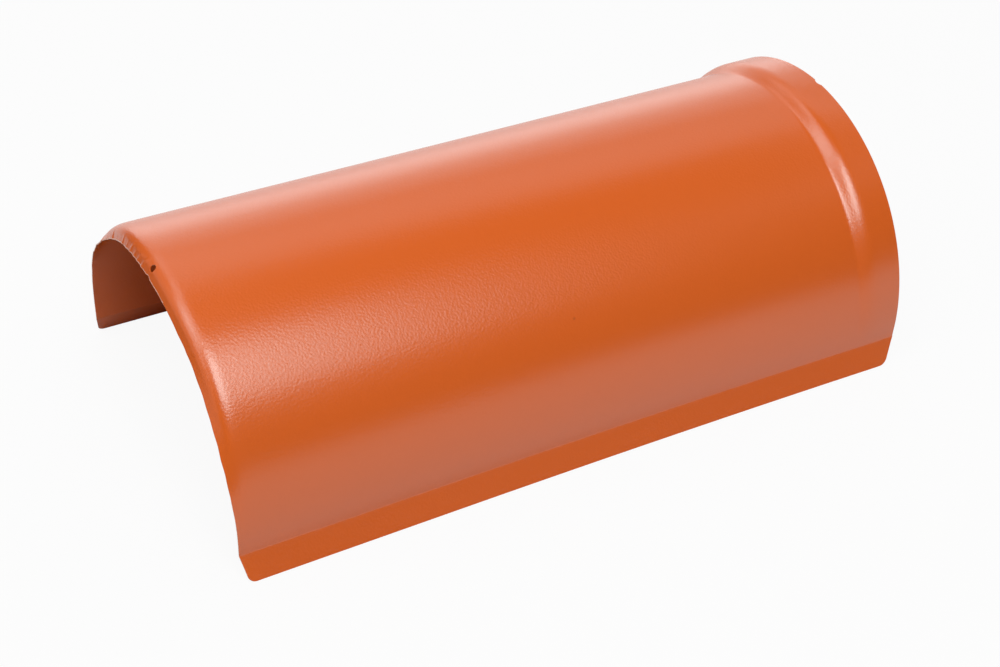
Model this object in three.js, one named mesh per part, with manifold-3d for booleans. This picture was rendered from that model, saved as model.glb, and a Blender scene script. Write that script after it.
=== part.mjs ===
// Half-round ridge cap, pressed from one piece of thin colour-coated steel sheet.
//
// The cap is an arch that covers the ridge of a roof. A drip flange is folded outwards along each long
// side. The narrow end, the spigot, turns in over a rounded shoulder and has the fixing hole in its crest.
// The wide end, the socket, is swaged up into a collar that laps over the spigot of the next cap.
//
// Frame, in millimetres: X runs along the ridge, from the spigot end at -X to the socket end at +X.
// Y is across, Z is up, and the origin is on the ground under the middle of the cap.

import * as THREE from "three";
import * as BufferGeometryUtils from "three/addons/utils/BufferGeometryUtils.js";
import Module from "manifold-3d";

// ---- driving dimensions -------------------------------------------------------------------------------

const sheet = 0.5;                // thickness of the coated steel

const length = 400;               // along the ridge, over both ends
const spigotFootWidth = 217.4;    // over the drip flanges, where the sides are parallel
const socketFlare = 3.6;          // how far each side bows out towards the socket
const straightLength = 121;       // stretch from the spigot end where the sides are parallel
const crestHeight = 123.15;       // ground to the crest of the body
const crestFall = 0.4;            // the body's crest comes down by this where the sides bow out

const flangeRun = 6.95;           // drip flange, how far it leans out
const flangeHeight = 13.6;        // drip flange, ground to fold line
const foldRadius = 1.5;           // bend between wall and flange
const flangeCornerRadius = 3.5;   // rounded corners of the flange
const spigotWallSetback = 1.2;    // the walls stop this short of the spigot end, which the crest reaches
const spigotFlangeTrim = 2.4;     // the flange's spigot end is cut back by this at its foot
const socketFlangeTrim = 7.95;    // the flange's socket end is cut back by this at its foot

const shoulderArc = 12.2;         // length of sheet in the rounded shoulder at the spigot end
const shoulderTightening = 2.7;   // how fast the shoulder's bend tightens towards the lip: 1 is an even bend
const lipLength = 3.9;            // length of sheet in the flat lip beyond the shoulder
const lipAngle = 63.3;            // degrees that the lip turns in at the crest
// Degrees round from the crest where the lip begins to open out, and where it has died out. The press has
// carried it further down on the right side of the ridge.
const lipFade = { left: { from: 28, to: 75 }, right: { from: 29, to: 90 } };

const collarRise = 4.3;           // the collar's arch stands this much higher than the body's
const collarStep = 0.3;           // and is this much bigger in radius
const collarHaunch = 0.7;         // and bulges by this half-way down each side
const collarLength = 14.8;        // full-height collar at the socket end
const swageLength = 13.2;         // S-shaped step between the body and the collar
const swageLead = 1.6;            // the step is steepest a little before its middle: 1 is an even one

const holeDiameter = 4;           // fixing hole in the shoulder, at the crest
const holeFromRim = 5.6;          // rim to the middle of the hole, along the sheet
const spigotNotch = { width: 4.5, depth: 0.7 };   // shallow round sighting notch in the rim, at the crest
const socketNotch = { width: 6, depth: 1.1 };     // the same at the other end
// The punch stood a little to the right of the crest. Both are measured round the arch.
const punchOffset = { spigot: 4.6, socket: 2.6 };

// ---- how finely the curved sheet is faceted -----------------------------------------------------------

const archFacets = 26;            // from the crest to the foot of the arch, on each side
const foldFacets = 4;
const cornerFacets = 5;
const lipFacets = 2;
const shoulderFacets = 7;
const shoulderSteps = 24;         // short steps that add up to a place on the shoulder or the lip
const straightFacets = 3;
const bowedFacets = 7;
const swageFacets = 10;
const collarFacets = 2;
const roundFacets = 24;           // round the hole and the notch

const quarterTurn = Math.PI / 2;
const clamp01 = (value) => Math.min(1, Math.max(0, value));
const smooth = (value) => clamp01(value) ** 2 * (3 - 2 * clamp01(value));

// ---- across the ridge: half an arch, an upright wall, a fold and a drip flange --------------------------

const flangeSlant = Math.hypot(flangeRun, flangeHeight);
const flangeLean = Math.atan2(flangeRun, flangeHeight);

// One row for each line that runs along the cap, from the crest down to the foot of the flange.
// around: angle from the crest; fold: angle round the fold; down: how far down the flange, 0 to 1.
// corner: angle round the flange's rounded corner. side is +1 on the left of the ridge and -1 on the right.
function sectionRows(side) {
  const rows = [];
  for (let step = 0; step <= archFacets; step += 1) {
    const around = quarterTurn * step / archFacets;
    rows.push({ side, zone: "arch", around, fold: 0, down: 0, corner: 0 });
  }
  for (let step = 0; step <= foldFacets; step += 1) {
    const fold = flangeLean * step / foldFacets;
    rows.push({ side, zone: "fold", around: quarterTurn, fold, down: 0, corner: 0 });
  }
  for (let step = 0; step <= cornerFacets; step += 1) {
    const corner = quarterTurn * step / cornerFacets;
    const down = 1 - flangeCornerRadius * (1 - Math.sin(corner)) / flangeSlant;
    rows.push({ side, zone: "flange", around: quarterTurn, fold: flangeLean, down, corner });
  }
  return rows;
}

// How far the sides have bowed out, 0 to 1, at a distance from the spigot end. The collar runs parallel.
function bowAt(fromSpigot) {
  return clamp01((fromSpigot - straightLength) / (length - collarLength - straightLength)) ** 2;
}

// Radius of the body's arch, which is also half the width between the two upright walls.
function archRadius(fromSpigot) {
  return spigotFootWidth / 2 - flangeRun + socketFlare * bowAt(fromSpigot);
}

// Height and half width of the sheet's outer face on one row, with the outward direction there.
function sectionPoint(row, fromSpigot) {
  const radius = archRadius(fromSpigot);
  if (row.zone === "flange") {
    return {
      across: radius + flangeRun * row.down,
      up: flangeHeight * (1 - row.down),
      outAcross: Math.cos(flangeLean),
      outUp: Math.sin(flangeLean),
    };
  }
  if (row.zone === "fold") {
    const wallEnd = flangeHeight + foldRadius * Math.tan(flangeLean / 2);
    return {
      across: radius + foldRadius * (1 - Math.cos(row.fold)),
      up: wallEnd - foldRadius * Math.sin(row.fold),
      outAcross: Math.cos(row.fold),
      outUp: Math.sin(row.fold),
    };
  }
  const centreHeight = crestHeight - crestFall * bowAt(fromSpigot) - radius;
  return {
    across: radius * Math.sin(row.around),
    up: centreHeight + radius * Math.cos(row.around),
    outAcross: Math.sin(row.around),
    outUp: Math.cos(row.around),
  };
}

// ---- along the ridge: lip, shoulder, straight body, bowed body, swage and collar ------------------------

// How much of the lip is left on a row: all of it at the crest, none of it low down on the sides.
function lipShare(row) {
  const { from, to } = row.side > 0 ? lipFade.left : lipFade.right;
  return 1 - smooth((THREE.MathUtils.radToDeg(row.around) - from) / (to - from));
}

// The turned-in end on one row, at a length of sheet from where the shoulder starts towards the rim.
// It gives how far the sheet has run, how far it has dropped, and its angle there. The bend tightens
// towards the lip, so the run and the drop are added up over short steps.
function shoulderPoint(row, sheetRun) {
  const turn = THREE.MathUtils.degToRad(lipAngle) * lipShare(row);
  const angleAt = (gone) => turn * clamp01(gone / shoulderArc) ** shoulderTightening;
  const stride = sheetRun / shoulderSteps;
  let run = 0;
  let drop = 0;
  for (let step = 0; step < shoulderSteps; step += 1) {
    const angle = angleAt(stride * (step + 0.5));
    run += stride * Math.cos(angle);
    drop += stride * Math.sin(angle);
  }
  return { run, drop, angle: angleAt(sheetRun) };
}

// How far the whole turned-in end runs towards the rim at the crest.
const crestReach = shoulderPoint({ side: 1, around: 0 }, shoulderArc + lipLength).run;

// Where the shoulder starts on a row, from the spigot end. The sheet's end was cut to a slight bow before it
// was bent, so that the rim reaches the end of the cap at the crest and the walls stop a little short of it.
// The flange's end is trimmed and its corner is round.
function shoulderStart(row) {
  const corner = flangeCornerRadius * (1 - Math.cos(row.corner));
  const atWall = shoulderArc + lipLength + spigotWallSetback;
  const start = THREE.MathUtils.lerp(crestReach, atWall, Math.sin(row.around) ** 2);
  return start + spigotFlangeTrim * row.down + corner;
}

function socketEnd(row) {
  return length - socketFlangeTrim * row.down - flangeCornerRadius * (1 - Math.cos(row.corner));
}

// One station for each line that runs across the cap: where each row crosses it. from is the distance from
// the spigot end, and sheetRun is the length of sheet from there towards the rim, where the end turns in.
function stationsAlong() {
  const stations = [];
  const turnedIn = (start, end, facets) => {
    for (let step = 0; step < facets; step += 1) {
      const sheetRun = THREE.MathUtils.lerp(start, end, step / facets);
      stations.push((row) => ({ from: shoulderStart(row), sheetRun }));
    }
  };
  const between = (start, end, facets) => {
    for (let step = 0; step < facets; step += 1) {
      stations.push((row) => {
        const from = THREE.MathUtils.lerp(start(row), end(row), step / facets);
        return { from, sheetRun: 0 };
      });
    }
  };
  const straightEnd = () => straightLength;
  const swageStart = () => length - collarLength - swageLength;
  const swageEnd = (row) => length - collarLength - (length - socketEnd(row)) / 2;
  turnedIn(shoulderArc + lipLength, shoulderArc, lipFacets);
  turnedIn(shoulderArc, 0, shoulderFacets);
  between(shoulderStart, straightEnd, straightFacets);
  between(straightEnd, swageStart, bowedFacets);
  between(swageStart, swageEnd, swageFacets);
  between(swageEnd, socketEnd, collarFacets);
  stations.push((row) => ({ from: socketEnd(row), sheetRun: 0 }));
  return stations;
}

// The collar's rise along the sheet's outward direction: most at the crest, nearly nothing at the walls.
function collarLift(row, fromSpigot) {
  if (row.zone !== "arch") {
    return 0;
  }
  const reached = clamp01((fromSpigot - (length - collarLength - swageLength)) / swageLength);
  const along = smooth(1 - (1 - reached) ** swageLead);
  const step = collarStep * Math.sqrt(Math.cos(Math.min(row.around, quarterTurn - 1e-6)));
  return along * (collarRise * Math.cos(row.around) + step + collarHaunch * Math.sin(2 * row.around) ** 2);
}

// A point on the sheet's outer face.
function outerPoint(row, station) {
  const { sheetRun, from } = station(row);
  const { run, drop } = shoulderPoint(row, sheetRun);
  const section = sectionPoint(row, from);
  const lift = collarLift(row, from) - drop;
  return new THREE.Vector3(
    from - run - length / 2,
    row.side * (section.across + section.outAcross * lift),
    section.up + section.outUp * lift,
  );
}

// ---- the sheet as one closed solid --------------------------------------------------------------------

// The rows of the whole section, from the left foot over the crest to the right foot.
function wholeSection() {
  return [...sectionRows(1).slice(1).reverse(), ...sectionRows(-1)];
}

// The outer face as a grid: a line of points across the cap for each station.
function outerGrid(rows, stations) {
  return stations.map((station) => rows.map((row) => outerPoint(row, station)));
}

// The inner face lies one sheet thickness inside the outer one. On the flanges it is set over level, so
// that the foot of the sheet is flat on the ground.
function innerGrid(outer, rows) {
  const lastStation = outer.length - 1;
  const lastLine = outer[0].length - 1;
  return outer.map((line, i) => line.map((point, j) => {
    const inner = point.clone();
    if (rows[j].zone === "flange") {
      inner.y -= Math.sign(point.y) * sheet / Math.cos(flangeLean);
      return inner;
    }
    const along = new THREE.Vector3().subVectors(
      outer[Math.min(i + 1, lastStation)][j],
      outer[Math.max(i - 1, 0)][j],
    );
    const across = new THREE.Vector3().subVectors(
      line[Math.min(j + 1, lastLine)],
      line[Math.max(j - 1, 0)],
    );
    const outward = new THREE.Vector3().crossVectors(across, along);
    if (i === lastStation) {
      outward.x = 0;
    }
    return inner.addScaledVector(outward.normalize(), -sheet);
  }));
}

// Two grids of the same size, joined round their edges into one closed shell.
function sheetGeometry(outer, inner) {
  const stationCount = outer.length;
  const lineCount = outer[0].length;
  const positions = [...outer.flat(), ...inner.flat()].flatMap((point) => point.toArray());
  const innerStart = stationCount * lineCount;
  const index = [];
  const quad = (a, b, c, d) => index.push(a, b, c, a, c, d);
  const at = (i, j) => i * lineCount + j;
  for (let i = 0; i + 1 < stationCount; i += 1) {
    for (let j = 0; j + 1 < lineCount; j += 1) {
      const corners = [at(i, j), at(i, j + 1), at(i + 1, j + 1), at(i + 1, j)];
      quad(...corners);
      quad(...corners.map((corner) => corner + innerStart).reverse());
    }
  }
  const border = [];
  for (let j = 0; j < lineCount; j += 1) {
    border.push(at(0, j));
  }
  for (let i = 1; i < stationCount; i += 1) {
    border.push(at(i, lineCount - 1));
  }
  for (let j = lineCount - 2; j >= 0; j -= 1) {
    border.push(at(stationCount - 1, j));
  }
  for (let i = stationCount - 2; i > 0; i -= 1) {
    border.push(at(i, 0));
  }
  border.forEach((corner, place) => {
    const next = border[(place + 1) % border.length];
    quad(next, corner, corner + innerStart, next + innerStart);
  });
  const geometry = new THREE.BufferGeometry();
  geometry.setAttribute("position", new THREE.Float32BufferAttribute(positions, 3));
  geometry.setIndex(index);
  return geometry;
}

// ---- holes --------------------------------------------------------------------------------------------

const wasm = await Module();
wasm.setup();

function toSolid(geometry) {
  const bare = geometry.clone();
  bare.deleteAttribute("normal");
  bare.deleteAttribute("uv");
  const merged = BufferGeometryUtils.mergeVertices(bare, 1e-4);
  return new wasm.Manifold(new wasm.Mesh({
    numProp: 3,
    vertProperties: new Float32Array(merged.attributes.position.array),
    triVerts: new Uint32Array(merged.index.array),
  }));
}

function toGeometry(solid) {
  const mesh = solid.getMesh();
  const geometry = new THREE.BufferGeometry();
  geometry.setAttribute("position", new THREE.BufferAttribute(mesh.vertProperties, 3));
  geometry.setIndex(new THREE.BufferAttribute(mesh.triVerts, 1));
  const flat = geometry.toNonIndexed();
  flat.computeVertexNormals();
  return flat;
}

// A round cutter through a point of the crest, along the sheet's outward direction there. It is then swung
// round the axis of the arch, by an offset that is measured to the right along the arch.
function crestCutter(radius, centre, tilt, offset) {
  const reach = 6;
  const arch = archRadius(centre.x + length / 2);
  const axisHeight = crestHeight - arch;
  const cutter = new THREE.CylinderGeometry(radius, radius, 2 * reach, roundFacets);
  cutter.rotateX(quarterTurn);
  cutter.rotateY(-tilt);
  cutter.translate(centre.x, centre.y, centre.z - axisHeight);
  cutter.rotateX(offset / arch);
  cutter.translate(0, 0, axisHeight);
  return toSolid(cutter);
}

// A cutter at a place on the turned-in end, by its distance from the rim along the sheet.
function lipCutter(radius, crestRow, fromRim) {
  const sheetRun = shoulderArc + lipLength - fromRim;
  const centre = outerPoint(crestRow, () => ({ sheetRun, from: shoulderStart(crestRow) }));
  return crestCutter(radius, centre, shoulderPoint(crestRow, sheetRun).angle, punchOffset.spigot);
}

// The radius of a round notch, from its width at the rim and its depth.
function notchRadius({ width, depth }) {
  return (width * width / 4 + depth * depth) / (2 * depth);
}

function crestCutters(crestRow) {
  const spigotRadius = notchRadius(spigotNotch);
  const socketRadius = notchRadius(socketNotch);
  const socketStation = () => ({ sheetRun: 0, from: length + socketRadius - socketNotch.depth });
  return wasm.Manifold.union([
    lipCutter(holeDiameter / 2, crestRow, holeFromRim),
    lipCutter(spigotRadius, crestRow, spigotNotch.depth - spigotRadius),
    crestCutter(socketRadius, outerPoint(crestRow, socketStation), 0, punchOffset.socket),
  ]);
}

// ---- the ridge cap ------------------------------------------------------------------------------------

const section = wholeSection();
const outer = outerGrid(section, stationsAlong());
const pressed = toSolid(sheetGeometry(outer, innerGrid(outer, section)));
const crest = section.find((row) => row.around === 0);

const terracottaPaint = new THREE.MeshStandardMaterial({
  color: 0xc8602f,
  roughness: 0.5,
  metalness: 0.0,
});

const ridgeCap = new THREE.Mesh(toGeometry(pressed.subtract(crestCutters(crest))), terracottaPaint);
ridgeCap.name = "ridge_cap";

const part = new THREE.Group();
part.add(ridgeCap);

export default part;
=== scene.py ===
# %% [markdown]
# # A pressed steel ridge cap, dressed for its portrait
#
# A ridge cap covers the line where the two slopes of a roof meet. This one is a half-round arch of thin
# steel sheet with a terracotta paint on it. The narrow end, the spigot, turns in over a rounded shoulder.
# The wide end, the socket, is swaged up into a collar that laps over the spigot of the next cap.
#
# The lesson builds the visible sheet as one surface of two numbers, lays a thin wall on it, paints it, and
# lights it as in a small studio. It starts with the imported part, which is the frame for everything else.

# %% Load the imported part
import math

import bpy
import numpy as np
from mathutils import Matrix, Vector


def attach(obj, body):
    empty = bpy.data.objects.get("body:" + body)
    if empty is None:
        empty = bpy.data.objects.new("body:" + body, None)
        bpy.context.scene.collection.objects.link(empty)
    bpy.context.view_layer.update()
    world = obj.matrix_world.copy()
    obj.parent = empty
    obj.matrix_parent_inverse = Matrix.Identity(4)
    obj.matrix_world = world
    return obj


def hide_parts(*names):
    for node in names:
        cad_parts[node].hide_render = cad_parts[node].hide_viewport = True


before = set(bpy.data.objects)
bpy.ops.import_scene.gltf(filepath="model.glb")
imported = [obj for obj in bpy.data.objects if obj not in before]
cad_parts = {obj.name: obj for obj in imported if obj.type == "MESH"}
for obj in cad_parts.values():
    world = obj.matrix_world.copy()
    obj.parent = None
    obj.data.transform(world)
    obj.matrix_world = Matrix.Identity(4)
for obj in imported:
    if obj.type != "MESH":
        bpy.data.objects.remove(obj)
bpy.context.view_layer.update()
print("packed nodes:", sorted(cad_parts))

# %% [markdown]
# ## The sizes of the pressing
#
# A press shop would write these on the drawing. They are in millimetres, because that is how sheet metal
# is measured, and they become metres only where a mesh is made. X runs along the ridge from the spigot to
# the socket, Y is across it and Z is up, with the ground at zero. Left and right are as seen from the
# spigot's end, looking along X.

# %% Sizes of the body, the flanges and the two ends
MM = 0.001

SHEET = 0.5
LENGTH = 400.0
SPIGOT_FOOT_WIDTH = 217.4
SOCKET_FLARE = 3.6
STRAIGHT_LENGTH = 121.0
CREST_HEIGHT = 123.15
CREST_FALL = 0.4

FLANGE_RUN = 6.95
FLANGE_HEIGHT = 13.6
FOLD_RADIUS = 1.5
FLANGE_CORNER = 3.5
SPIGOT_WALL_SETBACK = 1.2
SPIGOT_TRIM = 2.4
SOCKET_TRIM = 7.95

SHOULDER_ARC = 12.2
SHOULDER_TIGHTENING = 2.7
LIP_LENGTH = 3.9
LIP_ANGLE = math.radians(63.3)
# The lip dies out between these two angles from the crest, in degrees.
LIP_FADE_LEFT = (28, 75)
LIP_FADE_RIGHT = (29, 90)

COLLAR_RISE = 4.3
COLLAR_STEP = 0.3
COLLAR_HAUNCH = 0.7
COLLAR_LENGTH = 14.8
SWAGE_LENGTH = 13.2
SWAGE_LEAD = 1.6

HOLE_RADIUS = 2.0
HOLE_FROM_RIM = 5.6
HOLE_ASIDE = 4.6
# Each notch: its width, its depth, and how far it is to the right of the crest.
SPIGOT_NOTCH = (4.5, 0.7, HOLE_ASIDE)
SOCKET_NOTCH = (6.0, 1.1, 2.6)

# How far the rounding of an edge stands out, and how wide the pale band along the rim is. The band is a
# painted highlight that stands for the glint of the rim.
EDGE_ROUND = 0.15
RIM_GLINT_BAND = 0.6

TURNED_IN = SHOULDER_ARC + LIP_LENGTH
SWAGE_START = LENGTH - COLLAR_LENGTH - SWAGE_LENGTH
FLANGE_LEAN = math.atan2(FLANGE_RUN, FLANGE_HEIGHT)
FLANGE_SLANT = math.hypot(FLANGE_RUN, FLANGE_HEIGHT)
print("flange leans out by", round(math.degrees(FLANGE_LEAN), 1), "degrees")
print("turned-in end takes", TURNED_IN, "mm of sheet")


# %% [markdown]
# ## Across the ridge
#
# Cut across, the cap is a half circle on two short upright walls, with a small bend and a flange at each
# foot that throws the rain clear. All of it can be one formula: an angle that grows along the section and
# three lengths that grow one after another. That keeps the sheet smooth from one foot to the other, which
# a section glued together from separate pieces would not be.

# %% The section as one formula
def smooth(value):
    """An S-curve: 3 t^2 - 2 t^3 with t held between 0 and 1."""
    held = np.clip(value, 0, 1)
    return held * held * (3 - 2 * held)


def bow(along):
    """How far the sides have bowed out, 0 to 1: the square of the share of the way from the straight
    stretch to the collar."""
    return np.clip((along - STRAIGHT_LENGTH) / (LENGTH - COLLAR_LENGTH - STRAIGHT_LENGTH), 0, 1) ** 2


def arch_radius(along):
    """Half the width between the walls, which grows with the bow."""
    return SPIGOT_FOOT_WIDTH / 2 - FLANGE_RUN + SOCKET_FLARE * bow(along)


def stretches(across):
    """Splits the number across the ridge, -4 at the left foot to 4 at the right foot, into four shares.

    Its size counts the stretches from the crest: the quarter circle, the wall, the bend and the flange."""
    size = np.abs(across)
    return [np.clip(size - start, 0, 1) for start in range(4)]


BEND_SHARE = FOLD_RADIUS * math.tan(FLANGE_LEAN / 2) / FLANGE_SLANT
FOOT_SHARE = EDGE_ROUND / FLANGE_SLANT


def flange_share(share):
    """How far down the flange a point is, from the sharp corner it would have without its bend."""
    return BEND_SHARE + (1 - FOOT_SHARE - BEND_SHARE) * share


def section(across, along):
    """The outer face of a cut: half width, height and the angle that it faces, from straight up.

    width = R sin a + r (1 - cos b) + run s and height = C + R cos a - (C - W) w - r sin b - drop s, with
    R and r the radius of the arch and of the bend, a and b the angles turned in them, w and s the shares
    of wall and flange, C the height of the arch's centre and W the height where the wall ends."""
    arch, wall, bend, flange = stretches(across)
    turn, fold = arch * math.pi / 2, bend * FLANGE_LEAN
    radius = arch_radius(along)
    centre = CREST_HEIGHT - CREST_FALL * bow(along) - radius
    wall_end = FLANGE_HEIGHT + FOLD_RADIUS * math.tan(FLANGE_LEAN / 2)
    down = (1 - FOOT_SHARE - BEND_SHARE) * flange
    width = radius * np.sin(turn) + FOLD_RADIUS * (1 - np.cos(fold)) + FLANGE_RUN * down
    height = centre + radius * np.cos(turn) - (centre - wall_end) * wall
    height = height - FOLD_RADIUS * np.sin(fold) - FLANGE_HEIGHT * down
    return width, height, turn - fold


sample_cut = section(np.array([0.0, 1.0, 4.0]), np.full(3, LENGTH / 2))
print("half widths at crest, wall and foot:", sample_cut[0].round(2), "heights:", sample_cut[1].round(2))


# %% [markdown]
# ## Along the ridge
#
# At the spigot the sheet bends in over a shoulder and ends in a short flat lip. The lip is strongest over
# the crest and dies out down the sides, because the press can only turn in what it can gather. At the
# socket an S-shaped step, the swage, lifts the sheet into the collar.

# %% The turned-in end and the collar
SHOULDER_STEPS = 24


def arch_degrees(across):
    """Signed angle from the crest in degrees, positive on the right of the ridge."""
    return 90 * np.clip(across, -1, 1)


def lip_turn(across):
    """The angle that the lip turns in: all of it at the crest, fading along an S-curve on each side."""
    degrees = arch_degrees(across)
    start = np.where(degrees > 0, LIP_FADE_RIGHT[0], LIP_FADE_LEFT[0])
    end = np.where(degrees > 0, LIP_FADE_RIGHT[1], LIP_FADE_LEFT[1])
    return LIP_ANGLE * (1 - smooth((np.abs(degrees) - start) / (end - start)))


def bend_in(turn, sheet_run):
    """Where the sheet gets to when it turns by an angle over the shoulder and then runs straight.

    Along the shoulder the angle grows as turn (s / arc)^p, so the bend tightens towards the lip. The run
    and the drop are the length of sheet times the average cosine and sine of the angle on the way."""
    length = np.asarray(sheet_run, float)[..., None]
    gone = length * (np.arange(SHOULDER_STEPS) + 0.5) / SHOULDER_STEPS
    share = np.clip(gone / SHOULDER_ARC, 0, 1) ** SHOULDER_TIGHTENING
    angle = np.asarray(turn)[..., None] * share
    return sheet_run * np.cos(angle).mean(axis=-1), sheet_run * np.sin(angle).mean(axis=-1)


def collar_lift(across, along):
    """The swage and the collar: an S-curve along, times c cos a + s sqrt(cos a) + h sin^2(2 a) across.

    The S-curve takes 1 - (1 - t)^lead in place of t, so that it is steepest a little before its middle."""
    turn = np.radians(np.abs(arch_degrees(across)))
    level = np.maximum(np.cos(turn), 0)
    profile = COLLAR_RISE * level + COLLAR_STEP * np.sqrt(level) + COLLAR_HAUNCH * np.sin(2 * turn) ** 2
    reached = np.clip((along - SWAGE_START) / SWAGE_LENGTH, 0, 1)
    return smooth(1 - (1 - reached) ** SWAGE_LEAD) * profile


lip_samples = np.degrees(lip_turn(np.array([0, 70 / 90])))
print("lip angle at crest and at 70 degrees right:", lip_samples.round(1))


# %% [markdown]
# ## Puckers in the lip
#
# Turning in an edge that curves the other way leaves too much sheet in it, and the spare gathers in small
# radial puckers. They are biggest on the left of the hole, each a low ridge that grows towards the rim and
# leans a little. The rim is wavy for the same reason. Both are real shape here, and not only a bump in the
# paint, so that they show in the outline.

# %% Puckers, rim waves, notches and trimmed corners
# Each pucker: degrees from the crest at the rim, width, height, lean in degrees, and length from the rim.
PUCKERS = (
    (-62.0, 2.0, 0.40, -1.0, 5.0),
    (-54.5, 2.0, 0.60, -1.0, 5.0),
    (-47.0, 1.9, 0.65, -1.5, 6.0),
    (-40.5, 1.3, 0.30, -1.5, 5.0),
    (-33.5, 1.7, 0.80, -1.5, 7.5),
    (-28.0, 1.1, 0.30, -1.0, 5.0),
    (-21.5, 1.5, 0.70, 0.5, 6.5),
    (-17.2, 1.1, 0.40, 1.0, 6.0),
    (-13.4, 1.4, 0.80, 1.5, 7.5),
    (-9.8, 1.2, 0.55, 1.5, 6.5),
    (-6.4, 1.2, 0.65, 1.5, 7.5),
    (-2.9, 1.3, 0.95, 2.0, 9.0),
    (0.6, 0.8, 0.25, 1.5, 4.5),
    (17.0, 2.2, 0.08, 1.0, 6.0),
    (31.5, 2.0, 0.22, 1.0, 6.0),
)
# Each crease: degrees from the crest, distance from the rim, and height.
CREASES = (
    (22.5, 5.6, 0.057),
    (25.0, 5.2, 0.085),
    (28.6, 6.2, 0.057),
    (32.5, 6.4, 0.114),
    (35.2, 5.6, 0.057),
    (37.6, 6.2, 0.114),
    (41.2, 6.4, 0.085),
    (44.0, 6.9, 0.057),
)
PUCKER_GROWTH = 1.3
HOLLOW_DEPTH, HOLLOW_WIDTH = 0.45, 2
CREASE_WIDTH, CREASE_LENGTH = 0.5, 1.6
LIP_MM_PER_DEGREE = math.radians(1) * float(arch_radius(0.0))

# Each wave of the rim: how much faster it turns than the angle, the degree it starts at, and its share.
RIM_WAVES = ((47, 0, 1.0), (29, 40, 0.7))
# How far the rim draws back on the left and reaches out on the right, each with the height of its waves.
DRAW_BACK, REACH_OUT = (0.12, 0.07), (0.24, 0.09)
SIDES_CHANGE = (14, 26)
WAVES_END = (84, 70)


def pucker_height(across, from_rim):
    """A sum of ridges h g (exp(-x^2 / w^2) - d exp(-x^2 / (2 w)^2)), each in a hollow of depth d and
    growing towards the rim as g, a power of the share of its length that is left, and of small creases
    over the shoulder, h exp(-x^2 / w^2 - y^2 / l^2)."""
    degrees = arch_degrees(across)
    total = np.zeros(np.broadcast(degrees, from_rim).shape)
    for at_rim, width, height, lean, length in PUCKERS:
        line = at_rim + lean * from_rim / length
        offset = (degrees - line) * LIP_MM_PER_DEGREE / width
        hollow = HOLLOW_DEPTH * np.exp(-(offset / HOLLOW_WIDTH) ** 2)
        grown = np.clip(1 - from_rim / length, 0, 1) ** PUCKER_GROWTH
        total = total + height * grown * (np.exp(-offset ** 2) - hollow)
    for at, away, height in CREASES:
        aside = (degrees - at) * LIP_MM_PER_DEGREE / CREASE_WIDTH
        total = total + height * np.exp(-aside ** 2 - ((from_rim - away) / CREASE_LENGTH) ** 2)
    return total


def notch_depth(across, notch):
    """A round notch by the crest: the depth of a circle's edge below its chord."""
    width, depth, aside = notch
    radius = (width * width / 4 + depth * depth) / (2 * depth)
    offset = arch_degrees(across) * LIP_MM_PER_DEGREE - aside
    inside = np.maximum(radius ** 2 - offset ** 2, 0)
    return np.maximum(np.sqrt(inside) - (radius - depth), 0)


def rim_wave(across):
    """How far the spigot rim draws back: two sine waves of different lengths, on the left round a small
    draw back, on the right round a small reach out, and fading on the walls."""
    degrees = arch_degrees(across)
    waves = sum(share * np.sin(np.radians(degrees * rate + start)) for rate, start, share in RIM_WAVES)
    right = smooth((degrees - SIDES_CHANGE[0]) / (SIDES_CHANGE[1] - SIDES_CHANGE[0]))
    back = (1 - right) * (DRAW_BACK[0] + DRAW_BACK[1] * waves)
    out = right * (REACH_OUT[0] + REACH_OUT[1] * waves)
    return (back - out) * smooth((WAVES_END[0] - np.abs(degrees)) / (WAVES_END[0] - WAVES_END[1]))


def corner_cut(across):
    """The rounded corner at the foot of a flange: r - sqrt(r^2 - (r - d)^2), with d the way up from it."""
    radius = FLANGE_CORNER - EDGE_ROUND
    flange = stretches(across)[3]
    up_from_foot = (1 - FOOT_SHARE - flange_share(flange)) * FLANGE_SLANT
    reach = np.where(flange > 0, np.clip(radius - up_from_foot, 0, radius), 0)
    return radius - np.sqrt(radius ** 2 - reach ** 2)


CREST_REACH = float(bend_in(np.array(LIP_ANGLE), np.array(TURNED_IN))[0])


def end_cuts(across):
    """How much shorter the cap is on each line at the spigot and at the socket end.

    The spigot's rim is raked: with sin^2 of the angle it goes from the end of the cap, at the crest, back
    to the walls."""
    flange = stretches(across)[3]
    down = np.where(flange > 0, flange_share(flange), 0)
    low = np.sin(np.radians(arch_degrees(across))) ** 2
    raked = CREST_REACH - TURNED_IN + (TURNED_IN - CREST_REACH + SPIGOT_WALL_SETBACK) * low
    spigot = raked + SPIGOT_TRIM * down + corner_cut(across)
    socket = SOCKET_TRIM * down + corner_cut(across) + notch_depth(across, SOCKET_NOTCH)
    return spigot, socket


print("puckers:", len(PUCKERS), "and creases:", len(CREASES))
print("at the crest,", TURNED_IN, "mm of turned-in sheet reach", round(CREST_REACH, 2), "mm along")


# %% [markdown]
# ## The whole sheet
#
# Now one function gives the outer face from two numbers: across the ridge, and along the sheet from the
# spigot rim. A direction to face follows from it by stepping a little way both ways and crossing the two
# steps, so that the wall can be laid on inside, square to the sheet.

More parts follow.
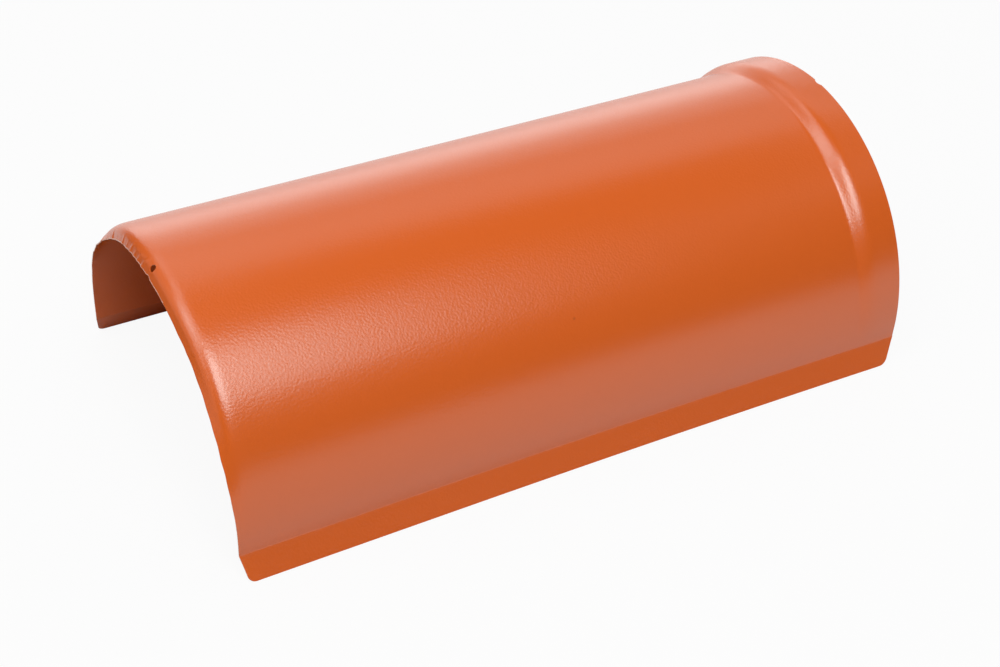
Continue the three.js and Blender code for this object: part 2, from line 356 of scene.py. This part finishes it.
# %% The outer face and the direction it faces
def press(across, along):
    """A point of the outer face: the section there, moved out by the collar, in by the lip, and square to
    the sheet by the puckers.

    Near the rim the sheet is measured back from the shoulder, and further on from the spigot end. The
    trimmed ends are taken up by the stretch next to them, and fade out along it."""
    spigot_cut, socket_cut = end_cuts(across)
    rim_cut = notch_depth(across, SPIGOT_NOTCH) + rim_wave(across)
    near_rim = np.clip(1 - along / (HOLE_FROM_RIM / 2), 0, 1)
    from_rim = along + rim_cut * near_rim
    sheet_run = np.clip(TURNED_IN - from_rim, 0, None)
    spigot_hold = np.clip((STRAIGHT_LENGTH - along) / (STRAIGHT_LENGTH - TURNED_IN), 0, 1)
    collar_start = LENGTH - COLLAR_LENGTH
    socket_hold = np.where(
        along < collar_start,
        0.5 * np.clip((along - SWAGE_START) / SWAGE_LENGTH, 0, 1),
        0.5 + 0.5 * (along - collar_start) / COLLAR_LENGTH,
    )
    station = np.maximum(along, TURNED_IN) + spigot_cut * spigot_hold - socket_cut * socket_hold
    width, height, facing = section(across, station)
    turn = lip_turn(across)
    run, drop = bend_in(turn, sheet_run)
    here = turn * np.clip(sheet_run / SHOULDER_ARC, 0, 1) ** SHOULDER_TIGHTENING
    pucker = pucker_height(across, from_rim)
    lift = collar_lift(across, station) - drop + pucker * np.cos(here)
    side = -np.sign(across)
    return np.stack([
        station - run - pucker * np.sin(here) - LENGTH / 2,
        side * (width + np.sin(facing) * lift),
        height + np.cos(facing) * lift,
    ], axis=-1)


def facing_out(across, along, step_across=4e-4, step_along=0.05):
    """The unit vector square to the sheet: the cross product of a small step across and one along."""
    aside = press(across + step_across, along) - press(across - step_across, along)
    ahead = press(across, along + step_along) - press(across, along - step_along)
    square = np.cross(aside, ahead)
    return square / np.linalg.norm(square, axis=-1, keepdims=True)


def inner_face(across, along):
    """The other side of the sheet, one thickness in. On the flanges it also slides down their slope, so
    that both faces end level with the ground."""
    out = facing_out(across, along)
    flange = stretches(across)[3][..., None]
    side = -np.sign(across)[..., None]
    down_slope = np.concatenate([
        np.zeros_like(side),
        side * math.sin(FLANGE_LEAN),
        np.full_like(side, -math.cos(FLANGE_LEAN)),
    ], axis=-1)
    return press(across, along) - SHEET * (out + math.tan(FLANGE_LEAN) * flange * down_slope)


mid_length = (np.array(0.0), np.array(LENGTH / 2))
print("crest at mid length, mm:", press(*mid_length).round(2), "facing", facing_out(*mid_length).round(3))


# %% [markdown]
# ## The grid, and the hole in it
#
# The lines of the grid lie close together where the shape is fine, over the lip, the bends and the swage,
# and far apart on the plain body. A hole in such a grid could be cut with a boolean. Pulling the grid
# round it is cleaner: a square block of cells is left out, and the lines round it are drawn in until its
# border is a true circle.

# %% Grid lines, closer where the shape is fine
def lines(*stretches_with_counts):
    """Evenly spaced numbers in each (start, end, cells) stretch, joined, without the doubled ends."""
    parts = [np.linspace(start, end, cells, endpoint=False) for start, end, cells in stretches_with_counts]
    return np.append(np.concatenate(parts), stretches_with_counts[-1][1])


HOLE_CELLS = 8
HOLE_BLOCK_SHARE = 1.1
FINE_STEP = 2 * HOLE_RADIUS * HOLE_BLOCK_SHARE / HOLE_CELLS
FINE_DEGREES = FINE_STEP / LIP_MM_PER_DEGREE
HOLE_BLOCK = FINE_STEP * HOLE_CELLS / 2

FINE_LEFT_CELLS, FINE_RIGHT_CELLS = 204, 44
CORNER_LINES = 9
SHOULDER_LINES_END, BODY_LINES_START = 16, 24
SWAGE_MARGIN = 4
fine_left = (HOLE_ASIDE / LIP_MM_PER_DEGREE - FINE_LEFT_CELLS * FINE_DEGREES) / 90
fine_right = (HOLE_ASIDE / LIP_MM_PER_DEGREE + FINE_RIGHT_CELLS * FINE_DEGREES) / 90
corner_share = FLANGE_CORNER / FLANGE_SLANT
corner_turn = np.linspace(0, math.pi / 2, CORNER_LINES)
corner_lines = 3 + (1 - corner_share + corner_share * np.sin(corner_turn))
# Each stretch: its start, its end and its number of cells. Across the ridge, 1 to 2 is the wall, 2 to 3 the
# bend and 3 to 4 the flange.
wall_and_flange = np.append(lines((1, 2, 3), (2, 3, 6), (3, corner_lines[0], 4))[:-1], corner_lines)
arch_lines = lines(
    (-1, fine_left, 40),
    (fine_left, fine_right, FINE_LEFT_CELLS + FINE_RIGHT_CELLS),
    (fine_right, 1, 124),
)
lines_across = np.concatenate([-wall_and_flange[::-1], arch_lines[1:-1], wall_and_flange])
lines_along = lines(
    (EDGE_ROUND, RIM_GLINT_BAND, 1),
    (RIM_GLINT_BAND, HOLE_FROM_RIM - HOLE_BLOCK, 5),
    (HOLE_FROM_RIM - HOLE_BLOCK, HOLE_FROM_RIM + HOLE_BLOCK, HOLE_CELLS),
    (HOLE_FROM_RIM + HOLE_BLOCK, SHOULDER_LINES_END, 14),
    (SHOULDER_LINES_END, BODY_LINES_START, 4),
    (BODY_LINES_START, STRAIGHT_LENGTH, 6),
    (STRAIGHT_LENGTH, SWAGE_START - SWAGE_MARGIN, 14),
    (SWAGE_START - SWAGE_MARGIN, LENGTH - COLLAR_LENGTH + SWAGE_MARGIN, 34),
    (LENGTH - COLLAR_LENGTH + SWAGE_MARGIN, LENGTH - EDGE_ROUND, 6),
)
grid_along, grid_across = np.meshgrid(lines_along, lines_across, indexing="ij")
print("grid:", grid_along.shape[0], "lines along by", grid_along.shape[1], "across")

# %% Pull the lines round the hole
HOLE_REACH = 1.9


def pull_round(across, along):
    """Bends the grid near the hole from squares to circles: at the block's border the point moves to
    the hole's circle along its own direction, and the pull fades out at HOLE_REACH blocks."""
    aside = (arch_degrees(across) * LIP_MM_PER_DEGREE - HOLE_ASIDE) / HOLE_BLOCK
    ahead = (along - HOLE_FROM_RIM) / HOLE_BLOCK
    square = np.maximum(np.abs(aside), np.abs(ahead))
    distance = np.maximum(np.hypot(aside, ahead), 1e-9)
    pull = (1 - smooth((square - 1) / (HOLE_REACH - 1))) * (square < HOLE_REACH)
    scale = 1 + pull * (square / distance * HOLE_RADIUS / HOLE_BLOCK - 1)
    round_across = (aside * scale * HOLE_BLOCK + HOLE_ASIDE) / LIP_MM_PER_DEGREE / 90
    round_along = ahead * scale * HOLE_BLOCK + HOLE_FROM_RIM
    new_across = np.where(pull > 0, round_across, across)
    new_along = np.where(pull > 0, round_along, along)
    return new_across, new_along, square


pulled_across, pulled_along, block_size = pull_round(grid_across, grid_along)
outer_points = press(pulled_across, pulled_along)
inner_points = inner_face(pulled_across, pulled_along)
print("outer face spans, mm:", np.ptp(outer_points.reshape(-1, 3), axis=0).round(2))


# %% [markdown]
# ## From two faces to one closed shell
#
# The outer and the inner face share one layout, so a cell of one has its twin in the other, turned round.
# A narrow strip joins them along every border: the two rims, the two feet and the hole. The strip is
# slightly rounded, as a sheared and painted edge is, so that it catches a thin bright line. Over the crest
# a pale band beside it adds to that line as a painted highlight.

# %% Cells, borders and the strips that close them
HOLE_EDGE_ROUND = 0.05
ROUNDING_SLACK = 1e-4

rows, columns = grid_along.shape
index = np.arange(rows * columns).reshape(rows, columns)
cell_corners = np.stack([index[:-1, :-1], index[:-1, 1:], index[1:, 1:], index[1:, :-1]], axis=-1)
hole_cells = np.maximum.reduce([
    block_size[:-1, :-1], block_size[:-1, 1:], block_size[1:, 1:], block_size[1:, :-1],
]) < 1 + ROUNDING_SLACK
outer_cells = cell_corners[~hole_cells]
inner_cells = outer_cells[:, ::-1] + rows * columns


def ring(first_row, last_row, first_column, last_column):
    """The grid points round a block, in the same turning direction as the cells."""
    return np.concatenate([
        index[first_row, first_column:last_column],
        index[first_row:last_row, last_column],
        index[last_row, last_column:first_column:-1],
        index[last_row:first_row:-1, first_column],
    ])


def border_strip(border, both_faces, start, bulge, segments=4):
    """Half an ellipse carried round a border: centre + half cos p + out bulge sin p, p from 0 to 180.

    Returns the new points between the two faces, which are counted from start, and the cells that join
    them all."""
    outer_edge, inner_edge = both_faces[0][border], both_faces[1][border]
    centre, half = (outer_edge + inner_edge) / 2, (outer_edge - inner_edge) / 2
    along_border = np.roll(outer_edge, -1, axis=0) - np.roll(outer_edge, 1, axis=0)
    out = np.cross(along_border, half)
    out = out / np.linalg.norm(out, axis=-1, keepdims=True)
    angles = np.linspace(0, math.pi, segments + 1)[1:-1, None, None]
    between = centre + half * np.cos(angles) + out * bulge * np.sin(angles)
    count = len(border)
    loops = np.concatenate([
        border[None],
        start + np.arange(between.shape[0] * count).reshape(-1, count),
        border[None] + rows * columns,
    ])
    following = np.roll(loops, -1, axis=1)
    cells = np.stack([following[:-1], loops[:-1], loops[1:], following[1:]], axis=-1)
    return between.reshape(-1, 3), cells.reshape(-1, 4)


flat_faces = (outer_points.reshape(-1, 3), inner_points.reshape(-1, 3))
rim_border = ring(0, rows - 1, 0, columns - 1)
in_hole = np.argwhere(hole_cells)
(hole_top, hole_left), (hole_bottom, hole_right) = in_hole.min(axis=0), in_hole.max(axis=0) + 1
hole_border = ring(hole_top, hole_bottom, hole_left, hole_right)[::-1]
rim_points, rim_cells = border_strip(rim_border, flat_faces, 2 * rows * columns, EDGE_ROUND)
hole_start = 2 * rows * columns + len(rim_points)
hole_points, hole_strip_cells = border_strip(hole_border, flat_faces, hole_start, HOLE_EDGE_ROUND)
print("rim strip:", len(rim_cells), "cells; hole strip:", len(hole_strip_cells), "cells")


# %% [markdown]
# ## Into a mesh
#
# The arrays go into a mesh in one go. Points that no cell uses, inside the hole, are dropped first, and
# the points that a pucker or a rounded edge pushes past the ground or the spigot's end are held there.
# The faces are shaded smooth, and the edges where a strip meets a face are marked sharp, so that the
# light turns over there at once and doesn't smear over the flat sheet. The strips take the cut edge's
# finish, and so does a narrow line over the crest, where its pale colour is a painted highlight for the
# glint along the rim.

# %% Build the ridge cap's mesh
PAINT, CUT_EDGE_AND_GLINT = 0, 1
# Over the crest a band of the first row takes the pale edge finish, as a painted highlight for the rim's
# glint.
RIM_GLINT_MIDDLE, RIM_GLINT_REACH = -24.0, 38.0


def tidy_points(points, cells):
    """Drops the points that no cell uses, and counts the cells' corners anew."""
    used = np.zeros(len(points), bool)
    used[cells] = True
    renumbered = np.cumsum(used) - 1
    return points[used], renumbered[cells], used


all_points = np.concatenate([*flat_faces, rim_points, hole_points]) * MM
all_points[:, 2] = np.maximum(all_points[:, 2], 0)
all_points[:, 0] = np.maximum(all_points[:, 0], -LENGTH / 2 * MM)
all_cells = np.concatenate([outer_cells, inner_cells, rim_cells, hole_strip_cells])
cell_paint = np.full(len(all_cells), PAINT)
cell_paint[len(outer_cells) + len(inner_cells):-len(hole_strip_cells)] = CUT_EDGE_AND_GLINT
first_row = outer_cells.max(axis=1) < 2 * columns
cell_degrees = arch_degrees(lines_across[outer_cells[:, 0] % columns])
# Painted highlight: the first row over the crest gets the pale edge finish, standing for the rim's glint.
over_crest = np.abs(cell_degrees - RIM_GLINT_MIDDLE) < RIM_GLINT_REACH
cell_paint[:len(outer_cells)][first_row & over_crest] = CUT_EDGE_AND_GLINT
on_border = np.zeros(len(all_points), bool)
for border in (rim_border, hole_border):
    on_border[border] = True
    on_border[border + rows * columns] = True
all_points, all_cells, used_points = tidy_points(all_points, all_cells)
on_border = on_border[used_points]

cap_mesh = bpy.data.meshes.new("ridge_cap_sheet")
cap_mesh.from_pydata(all_points, [], all_cells.tolist())
cap_mesh.polygons.foreach_set("material_index", cell_paint.astype(np.int32))
cap_mesh.polygons.foreach_set("use_smooth", np.ones(len(all_cells), bool))
edge_ends = np.zeros(len(cap_mesh.edges) * 2, np.int32)
cap_mesh.edges.foreach_get("vertices", edge_ends)
sharp_edges = on_border[edge_ends.reshape(-1, 2)].all(axis=1)
cap_mesh.attributes.new("sharp_edge", "BOOLEAN", "EDGE").data.foreach_set("value", sharp_edges)
cap_mesh.validate()
cap_mesh.update()

ridge_cap = bpy.data.objects.new("ridge_cap_sheet", cap_mesh)
bpy.context.scene.collection.objects.link(ridge_cap)
print("ridge cap:", len(cap_mesh.vertices), "points,", len(cap_mesh.polygons), "cells")
print("sharp edges:", int(sharp_edges.sum()))

# %% [markdown]
# ## Terracotta paint
#
# Coil-coated steel comes painted from the mill. The coat is satin and slightly grained, so a softbox
# shows in it as a broad pale band with a fine texture. The colour is one even terracotta, with a single
# dark speck in it. The grain is a bump of noise about a millimetre across, which is too fine to be worth
# modelling. The gloss is tinted a touch away from red, which keeps the highlights on the orange from
# turning pink.

# %% Helpers for materials
def new_material(name):
    """A new material with a Principled shader; returns it with its nodes, its links and that shader."""
    material = bpy.data.materials.new(name)
    material.use_nodes = True
    nodes, links = material.node_tree.nodes, material.node_tree.links
    return material, nodes, links, nodes["Principled BSDF"]


def noise(nodes, links, coordinates, scale, detail):
    """Noise in the object's own space; scale counts its waves per metre, and detail its finer layers."""
    texture = nodes.new("ShaderNodeTexNoise")
    texture.inputs["Scale"].default_value = scale
    texture.inputs["Detail"].default_value = detail
    links.new(coordinates.outputs["Object"], texture.inputs["Vector"])
    return texture.outputs["Fac"]


def mapped(nodes, links, value, low, high, to_low, to_high):
    """Carries a value from one range to another, held at its ends."""
    node = nodes.new("ShaderNodeMapRange")
    node.inputs["From Min"].default_value = low
    node.inputs["From Max"].default_value = high
    node.inputs["To Min"].default_value = to_low
    node.inputs["To Max"].default_value = to_high
    links.new(value, node.inputs["Value"])
    return node.outputs["Result"]


# %% The terracotta coat
TERRACOTTA = (0.65, 0.105, 0.004, 1.0)
SPECK_COLOUR = (0.48, 0.075, 0.004, 1.0)
SPECK_ANGLE, SPECK_ALONG = 54.2, 194.5
SPECK_RADIUS = 0.8 * MM
SPECK_CORE, SPECK_RIM = 0.4 * SPECK_RADIUS, 1.3 * SPECK_RADIUS
GRAIN_PER_METRE, GRAIN_DETAIL = 850.0, 0.5
GRAIN_DEPTH = 0.075 * MM
COAT_ROUGHNESS = 0.27
COAT_GLOSS = 0.9
GLOSS_TINT = (0.8, 1.0, 1.0, 1.0)

coat, nodes, links, shader = new_material("terracotta_coat")
coordinates = nodes.new("ShaderNodeTexCoord")
speck_place = press(np.array(SPECK_ANGLE / 90), np.array(SPECK_ALONG)) * MM
away = nodes.new("ShaderNodeVectorMath")
away.operation = "DISTANCE"
away.inputs[1].default_value = speck_place.tolist()
links.new(coordinates.outputs["Object"], away.inputs[0])
tint = nodes.new("ShaderNodeMix")
tint.data_type = "RGBA"
tint.inputs["A"].default_value = SPECK_COLOUR
tint.inputs["B"].default_value = TERRACOTTA
speck_edge = mapped(nodes, links, away.outputs["Value"], SPECK_CORE, SPECK_RIM, 0, 1)
links.new(speck_edge, tint.inputs["Factor"])
links.new(tint.outputs["Result"], shader.inputs["Base Color"])
grain = noise(nodes, links, coordinates, GRAIN_PER_METRE, GRAIN_DETAIL)
bump = nodes.new("ShaderNodeBump")
bump.inputs["Strength"].default_value = 1.0
bump.inputs["Distance"].default_value = GRAIN_DEPTH
links.new(grain, bump.inputs["Height"])
links.new(bump.outputs["Normal"], shader.inputs["Normal"])
shader.inputs["Roughness"].default_value = COAT_ROUGHNESS
shader.inputs["Specular IOR Level"].default_value = COAT_GLOSS
shader.inputs["Specular Tint"].default_value = GLOSS_TINT
print("terracotta coat:", len(nodes), "nodes; speck at", speck_place.round(4))

# %% [markdown]
# ## The sheared edge, and a painted glint on the rim
#
# The sheet was cut after it was painted, so its edge is bare zinc-coated steel that the shears have drawn
# some paint over, in streaks. A mix of two colours by noise is enough for a line half a millimetre wide.
# The same pale finish goes on a narrow band of the top face over the crest. There it is a painted
# highlight that stands for the glint along the rim.

# %% The cut edge
DRAWN_PAINT = (0.66, 0.22, 0.10, 1.0)
# The pale colour is bare zinc on the cut edge, and a painted highlight on the band over the crest.
ZINC_AND_GLINT = (0.80, 0.50, 0.40, 1.0)
STREAKS_PER_METRE, STREAK_DETAIL = 700.0, 2.0
STREAK_LOW, STREAK_HIGH = 0.35, 0.65
EDGE_ROUGHNESS = 0.4

edge, nodes, links, shader = new_material("sheared_edge_and_glint")
coordinates = nodes.new("ShaderNodeTexCoord")
streaks = noise(nodes, links, coordinates, STREAKS_PER_METRE, STREAK_DETAIL)
tint = nodes.new("ShaderNodeMix")
tint.data_type = "RGBA"
tint.inputs["A"].default_value = DRAWN_PAINT
tint.inputs["B"].default_value = ZINC_AND_GLINT
links.new(mapped(nodes, links, streaks, STREAK_LOW, STREAK_HIGH, 0, 1), tint.inputs["Factor"])
links.new(tint.outputs["Result"], shader.inputs["Base Color"])
shader.inputs["Roughness"].default_value = EDGE_ROUGHNESS
print("sheared edge:", len(nodes), "nodes")

# %% Put the paint on and tie the piece to the part
cap_mesh.materials.append(coat)
cap_mesh.materials.append(edge)
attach(ridge_cap, "root")
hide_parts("ridge_cap")
print("finishes on the cap:", [material.name for material in cap_mesh.materials])

# %% [markdown]
# ## The studio
#
# The cap stands on a plain white floor. The floor is a real pale surface, so it throws light back up
# under the cap and keeps a soft shadow. On top of that it glows to the camera, so that it reads as clean
# white, and it glows in the paint's reflections where it is open. Past the table's end reflections find
# it dark, as they would in a studio with black cloth in front of the table, and deep under the cap too.
# The world is dim, and white only to the camera.

# %% Floor and world
# The studio is measured in metres.
FLOOR_SIZE = 14.0
UNDER_HALF_LENGTH = LENGTH / 2 * MM
UNDER_HALF_WIDTH = (SPIGOT_FOOT_WIDTH / 2 + SOCKET_FLARE) * MM
# The footprint's edges are soft: over this much before and past an end, and past a side.
BEFORE_END, PAST_END = 0.01, 0.05
PAST_SIDE = 0.003
# The table fades out between these two places on X, and the dark under the cap reaches this far from its
# middle.
TABLE_END = (-0.46, -0.22)
DARK_INSIDE = 0.10
FLOOR_COLOUR = (0.6, 0.6, 0.6, 1.0)
FLOOR_ROUGHNESS = 0.9
GLOW_SHARE = 0.93
WHITE = (1.0, 1.0, 1.0, 1.0)
AIR_BRIGHTNESS = 0.12


def calculate(nodes, links, operation, first, second):
    """A math node on two values, each a socket or a plain number."""
    node = nodes.new("ShaderNodeMath")
    node.operation = operation
    for socket, value in zip(node.inputs, (first, second)):
        if isinstance(value, (int, float)):
            socket.default_value = value
        else:
            links.new(value, socket)
    return node.outputs["Value"]


def floor_masks(nodes, links):
    """Three values on the floor: 1 where it is clear of the cap, as the larger of two steps at the edges
    of the footprint, 1 on the table, as a fade along the ridge, and 1 by the cap's ends, as a fade
    inwards."""
    place = nodes.new("ShaderNodeTexCoord")
    apart = nodes.new("ShaderNodeSeparateXYZ")
    links.new(place.outputs["Object"], apart.inputs["Vector"])
    along_ridge = calculate(nodes, links, "ABSOLUTE", apart.outputs["X"], 0.0)
    across_ridge = calculate(nodes, links, "ABSOLUTE", apart.outputs["Y"], 0.0)
    ends = (UNDER_HALF_LENGTH - BEFORE_END, UNDER_HALF_LENGTH + PAST_END)
    sides = (UNDER_HALF_WIDTH, UNDER_HALF_WIDTH + PAST_SIDE)
    clear_ends = mapped(nodes, links, along_ridge, *ends, 0, 1)
    clear_sides = mapped(nodes, links, across_ridge, *sides, 0, 1)
    clear = calculate(nodes, links, "MAXIMUM", clear_ends, clear_sides)
    table = mapped(nodes, links, apart.outputs["X"], *TABLE_END, 0, 1)
    near_end = mapped(nodes, links, along_ridge, DARK_INSIDE, UNDER_HALF_LENGTH, 0, 1)
    return clear, table, near_end


def glow_to_camera(nodes, links, surface, share):
    """Mixes a glow into a surface for camera and glossy rays. To the camera it is white all over. In
    reflections it is white where the floor is open and black past the table's end, and under the cap's
    ends the surface itself shows."""
    path = nodes.new("ShaderNodeLightPath")
    clear, table, near_end = floor_masks(nodes, links)
    covered = calculate(nodes, links, "MULTIPLY", near_end, calculate(nodes, links, "SUBTRACT", 1.0, clear))
    uncovered = calculate(nodes, links, "SUBTRACT", 1.0, covered)
    reflected = calculate(nodes, links, "MULTIPLY", path.outputs["Is Glossy Ray"], uncovered)
    seen = calculate(nodes, links, "MAXIMUM", path.outputs["Is Camera Ray"], reflected)
    glow = nodes.new("ShaderNodeEmission")
    open_table = calculate(nodes, links, "MULTIPLY", clear, table)
    whiteness = calculate(nodes, links, "MAXIMUM", path.outputs["Is Camera Ray"], open_table)
    links.new(whiteness, glow.inputs["Strength"])
    blend = nodes.new("ShaderNodeMixShader")
    links.new(calculate(nodes, links, "MULTIPLY", seen, share), blend.inputs["Fac"])
    links.new(surface, blend.inputs[1])
    links.new(glow.outputs["Emission"], blend.inputs[2])
    return blend.outputs["Shader"]


floor_paint, nodes, links, shader = new_material("studio_floor")
shader.inputs["Base Color"].default_value = FLOOR_COLOUR
shader.inputs["Roughness"].default_value = FLOOR_ROUGHNESS
shader.inputs["Specular IOR Level"].default_value = 0.0
floor_out = nodes["Material Output"].inputs["Surface"]
links.new(glow_to_camera(nodes, links, shader.outputs["BSDF"], GLOW_SHARE), floor_out)

floor_mesh = bpy.data.meshes.new("studio_floor")
half = FLOOR_SIZE / 2
floor_corners = [(-half, -half, 0), (half, -half, 0), (half, half, 0), (-half, half, 0)]
floor_mesh.from_pydata(floor_corners, [], [(0, 1, 2, 3)])
floor_mesh.materials.append(floor_paint)
floor = bpy.data.objects.new("studio_floor", floor_mesh)
bpy.context.scene.collection.objects.link(floor)

world = bpy.data.worlds.new("studio")
bpy.context.scene.world = world
world.use_nodes = True
nodes, links = world.node_tree.nodes, world.node_tree.links
air = nodes["Background"]
air.inputs["Color"].default_value = WHITE
air.inputs["Strength"].default_value = AIR_BRIGHTNESS
white = nodes.new("ShaderNodeBackground")
white.inputs["Color"].default_value = WHITE
white.inputs["Strength"].default_value = 1.0
path = nodes.new("ShaderNodeLightPath")
blend = nodes.new("ShaderNodeMixShader")
links.new(path.outputs["Is Camera Ray"], blend.inputs["Fac"])
links.new(air.outputs["Background"], blend.inputs[1])
links.new(white.outputs["Background"], blend.inputs[2])
links.new(blend.outputs["Shader"], nodes["World Output"].inputs["Surface"])
print("floor", FLOOR_SIZE, "m across; world set")


# %% [markdown]
# ## Softboxes and screens
#
# Satin paint shows its surroundings as soft pale patches, so each patch is made by a lamp with a size: the
# larger the lamp, the broader the patch. The key box and its edge draw the long band on the right side.
# The overhead box and the side box, which hangs over the spigot's end, light the top. The boxes at the
# back draw the glare along the far side of the crest, and the two screens behind them carry it down to
# the outline. The front screen fills the turned-in lip, and two boxes past the socket's end shine on the
# collar. The camera sees none of the lamps.

# %% Softboxes
STUDIO_CENTRE = Vector((0.0, 0.0, 0.05))
NEAR, FAR = 2.0, 2.2
# Each softbox: name, azimuth, height, distance, width and height in metres, and brightness.
SOFTBOXES = (
    ("key_box", 256.5, 52, NEAR, (0.73, 1.08), 6.25),
    ("key_edge", 279.5, 56, NEAR, (0.70, 1.26), 2.8),
    ("overhead_box", 180, 73, FAR, (0.97, 1.19), 2.1),
    ("side_box", 186, 56.5, FAR, (1.24, 1.46), 1.45),
    ("back_box", 67.5, 51.7, FAR, (2.0, 0.89), 0.74),
    ("back_high_box", 100, 68.4, FAR, (0.6, 0.6), 1.72),
    ("back_left_box", 125, 62, FAR, (0.9, 0.7), 0.3),
    ("back_low_box", 100, 45, FAR, (1.0, 0.6), 0.6),
    ("high_screen", 68, 26, FAR, (2.4, 0.7), 0.85),
    ("low_screen", 73, 8, FAR, (1.9, 0.7), 1.72),
    ("back_right_box", 15, 35, FAR, (0.9, 0.9), 1.2),
    ("right_box", 340, 40, FAR, (1.0, 0.8), 0.28),
    ("front_screen", 168, 27, NEAR, (3.4, 2.2), 0.36),
)


def softbox(name, azimuth, height, distance, size, brightness):
    """A rectangular area light that faces the cap from a direction and distance.

    Azimuth and height are in degrees, azimuth from the socket's end and anticlockwise from above. Its
    power is pi times its area times its brightness, and a mirror would show a brightness of 1 as white."""
    light = bpy.data.lights.new(name, "AREA")
    light.shape = "RECTANGLE"
    light.size, light.size_y = size
    light.energy = math.pi * size[0] * size[1] * brightness
    lamp = bpy.data.objects.new(name, light)
    turn, rise = math.radians(azimuth), math.radians(height)
    away = Vector((math.cos(turn) * math.cos(rise), math.sin(turn) * math.cos(rise), math.sin(rise)))
    lamp.location = STUDIO_CENTRE + away * distance
    lamp.rotation_mode = "QUATERNION"
    lamp.rotation_quaternion = away.to_track_quat("Z", "Y")
    lamp.visible_camera = False
    bpy.context.scene.collection.objects.link(lamp)
    return lamp


for box in SOFTBOXES:
    softbox(*box)
print("softboxes:", len(SOFTBOXES))

# %% [markdown]
# ## The camera
#
# The camera stands at the left front, over the spigot, and looks down at the cap. Its three axes are
# built from the way it looks, its height over the horizon and its roll. The frame is a part of a larger
# view, so the lens is shifted sideways.

# %% Camera
CAMERA_PLACE = (-0.41372, -0.71715, 0.68099)
CAMERA_AZIMUTH = math.radians(-36.7985)
CAMERA_ELEVATION = math.radians(38.9531)
CAMERA_ROLL = math.radians(7.0954)
FOCAL_PIXELS = 1867.0
FRAME_WIDTH, FRAME_HEIGHT = 1000, 667
AXIS_X, AXIS_Y = 675.0, 343.5
SENSOR = 36.0
CLIP_NEAR, CLIP_FAR = 0.05, 50


def camera_axes(azimuth, elevation, roll):
    """Right, up and back unit vectors of the camera: a look direction, then turned by the roll."""
    look = np.array([
        -math.sin(azimuth) * math.cos(elevation),
        math.cos(azimuth) * math.cos(elevation),
        -math.sin(elevation),
    ])
    level = np.array([math.cos(azimuth), math.sin(azimuth), 0.0])
    below = np.cross(look, level)
    right = math.cos(roll) * level - math.sin(roll) * below
    down = math.sin(roll) * level + math.cos(roll) * below
    return right, -down, -look


lens = bpy.data.cameras.new("portrait")
lens.sensor_width = SENSOR
lens.lens = FOCAL_PIXELS * SENSOR / FRAME_WIDTH
lens.shift_x = (FRAME_WIDTH / 2 - AXIS_X) / FRAME_WIDTH
lens.shift_y = (AXIS_Y - FRAME_HEIGHT / 2) / FRAME_WIDTH
lens.clip_start, lens.clip_end = CLIP_NEAR, CLIP_FAR
camera = bpy.data.objects.new("portrait", lens)
turned = np.eye(4)
turned[:3, :3] = np.stack(camera_axes(CAMERA_AZIMUTH, CAMERA_ELEVATION, CAMERA_ROLL), axis=1)
turned[:3, 3] = CAMERA_PLACE
camera.matrix_world = Matrix(turned.tolist())
bpy.context.scene.collection.objects.link(camera)
bpy.context.scene.camera = camera
bpy.context.scene.view_settings.view_transform = "Standard"
print("lens", round(lens.lens, 2), "mm, shift", round(lens.shift_x, 4), round(lens.shift_y, 4))
